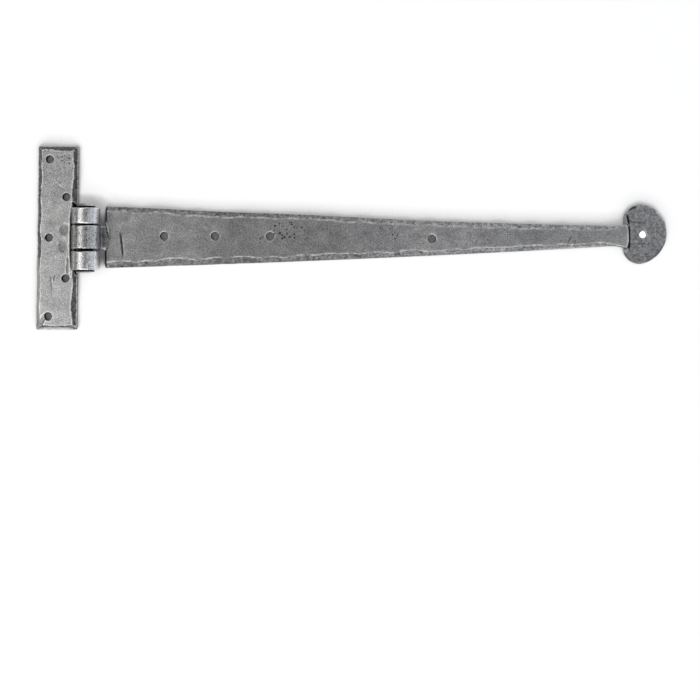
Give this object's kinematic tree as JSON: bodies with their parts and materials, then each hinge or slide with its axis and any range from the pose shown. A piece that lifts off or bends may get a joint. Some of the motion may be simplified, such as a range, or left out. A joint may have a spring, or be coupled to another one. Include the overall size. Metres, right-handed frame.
{
  "type": "tee hinge",
  "caption": "Forged tee hinge: an upright frame plate and a long tapering strap ending in a flat penny, joined by a rolled barrel on a riveted pin, with screw holes and hammered edges.",
  "frame": {"origin": "middle of the frame plate's back face", "axes": "+X along the strap towards the penny, +Y along the pin, +Z out of the hinge's face, away from the door"},
  "size_m": [0.5145, 0.15, 0.0224],
  "materials": {
    "forged_steel": "forged and hammered steel with a waxed pewter patina, burnished on the high edges",
    "pin_steel": "round steel bar, peened over at both ends, with the same pewter patina"
  },
  "bodies": {
    "frame": {"frame_plate": "forged_steel", "hinge_pin": "pin_steel"},
    "strap": {"strap": "forged_steel"}
  },
  "joints": [
    {"name": "strap_swing", "type": "hinge", "parent": "frame", "child": "strap", "pos_m": [0.02585, 0, 0.0112], "axis": [0, -1, 0], "range_deg": [0, 190]}
  ]
}
